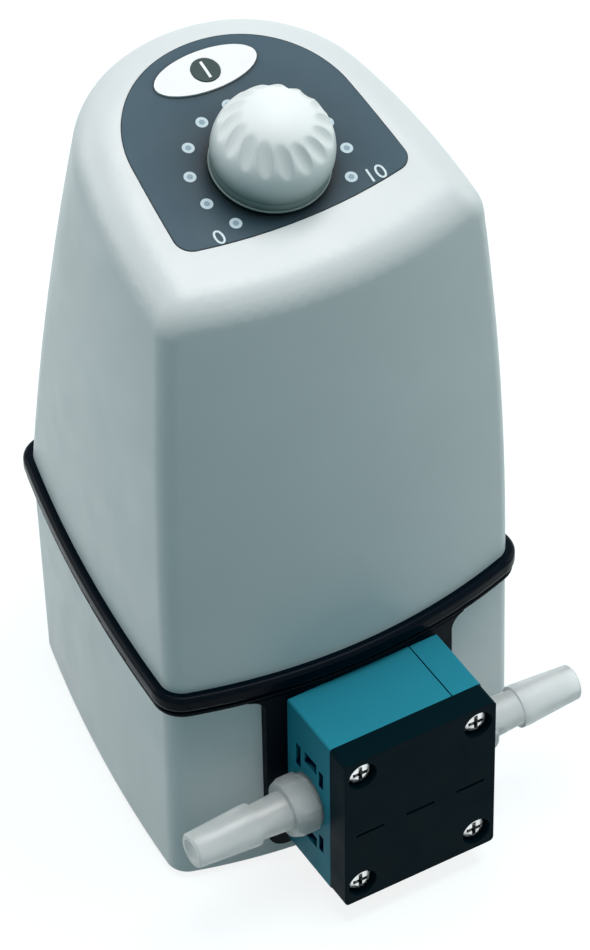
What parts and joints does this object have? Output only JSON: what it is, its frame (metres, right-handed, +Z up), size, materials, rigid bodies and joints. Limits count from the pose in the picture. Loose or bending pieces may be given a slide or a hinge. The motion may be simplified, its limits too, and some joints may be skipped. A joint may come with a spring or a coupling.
{
  "type": "diaphragm liquid pump",
  "caption": "Bench-top diaphragm metering pump: tall tapered housing with sloping dial face and domed speed knob, black band, low front pump head with side hose barbs.",
  "frame": {"origin": "on the surface that the feet stand on, below the middle of the whole pump's box", "axes": "+Z up; -Y to the pump head at the front; +X to the outlet side, on the right as seen from the front"},
  "size_m": [0.123, 0.154, 0.2333],
  "materials": {
    "housing_plastic": "moulded, softly glossy, pale cool grey",
    "band_rubber": "black, satin",
    "collar_plastic": "black, satin",
    "label_foil": "slate blue, satin",
    "knob_plastic": "light grey, satin gloss",
    "pad_plastic": "white, glossy",
    "button_plastic": "dark grey, satin",
    "plate_plastic": "black, satin",
    "block_plastic": "machined blue plastic, satin",
    "fitting_plastic": "translucent natural plastic",
    "screw_steel": "bright stainless steel",
    "bearing_steel": "ground and polished",
    "motor_steel": "zinc plated sheet steel",
    "frame_alloy": "die cast",
    "diaphragm_rubber": "moulded, matt",
    "valve_rubber": "moulded, matt",
    "seal_rubber": "moulded, matt",
    "foot_rubber": "moulded, matt",
    "black_plastic": "moulded, matt",
    "white_plastic": "moulded, matt",
    "board_laminate": "green solder mask",
    "pot_metal": "stamped sheet",
    "brass": "nickel-free brass",
    "core_steel": "varnished laminations",
    "capacitor_sleeve": "shrink sleeve"
  },
  "bodies": {
    "pump": {"upper_housing": "housing_plastic", "lower_housing": "housing_plastic", "seal_band": "band_rubber", "head_collar": "collar_plastic", "control_label": "label_foil", "rubber_feet": "foot_rubber", "housing_screws": "screw_steel", "dial_potentiometer": "pot_metal", "potentiometer_nut": "brass", "control_board": "board_laminate", "board_screws": "screw_steel", "button_pad": "pad_plastic", "power_switch": "black_plastic", "head_plate": "plate_plastic", "head_screws": "screw_steel", "head_block": "block_plastic", "head_seal": "seal_rubber", "valve_cages": "white_plastic", "diaphragm": "diaphragm_rubber", "inlet_fitting": "fitting_plastic", "outlet_fitting": "fitting_plastic", "fitting_rings": "fitting_plastic", "drive_frame": "frame_alloy", "frame_cover": "black_plastic", "rubber_mounts": "foot_rubber", "motor_can": "motor_steel", "motor_cap": "black_plastic", "motor_screws": "screw_steel", "mains_inlet": "black_plastic", "inlet_pins": "brass", "power_board": "board_laminate", "transformer": "core_steel", "smoothing_capacitor": "capacitor_sleeve"},
    "knob": {"speed_knob": "knob_plastic", "knob_skirt": "knob_plastic", "dial_shaft": "pot_metal"},
    "button": {"power_button": "button_plastic"},
    "crank": {"motor_shaft": "bearing_steel", "eccentric": "motor_steel", "bearing_inner_race": "bearing_steel", "bearing_balls": "bearing_steel"},
    "rod": {"connecting_rod": "white_plastic", "bearing_outer_race": "bearing_steel"},
    "inlet_disc": {"inlet_valve": "valve_rubber"},
    "outlet_disc": {"outlet_valve": "valve_rubber"}
  },
  "joints": [
    {"name": "knob_turn", "type": "hinge", "parent": "pump", "child": "knob", "pos_m": [0, -0.0008, 0.2094], "axis": [0, -0.247, 0.969], "range_deg": [-126, 126]},
    {"name": "button_press", "type": "slide", "parent": "pump", "child": "button", "axis": [0, 0.247, -0.969], "range_m": [0, 0.0005], "stiffness_N_per_m": 800, "springref_m": -0.0006},
    {"name": "crank_turn", "type": "hinge", "parent": "pump", "child": "crank", "pos_m": [0, -0.011, 0.046], "axis": [0, 0, 1], "continuous": true},
    {"name": "rod_swing", "type": "hinge", "parent": "crank", "child": "rod", "pos_m": [0, -0.0125, 0.036], "axis": [0, 0, 1], "continuous": true},
    {"name": "inlet_valve_lift", "type": "slide", "parent": "pump", "child": "inlet_disc", "axis": [0, 1, 0], "range_m": [0, 0.0006], "stiffness_N_per_m": 50, "springref_m": -0.0004},
    {"name": "outlet_valve_lift", "type": "slide", "parent": "pump", "child": "outlet_disc", "axis": [0, -1, 0], "range_m": [0, 0.0006], "stiffness_N_per_m": 50, "springref_m": -0.0004}
  ],
  "couplings": [
    {"joint": "rod_swing", "follows": "crank_turn", "ratio": -1}
  ]
}
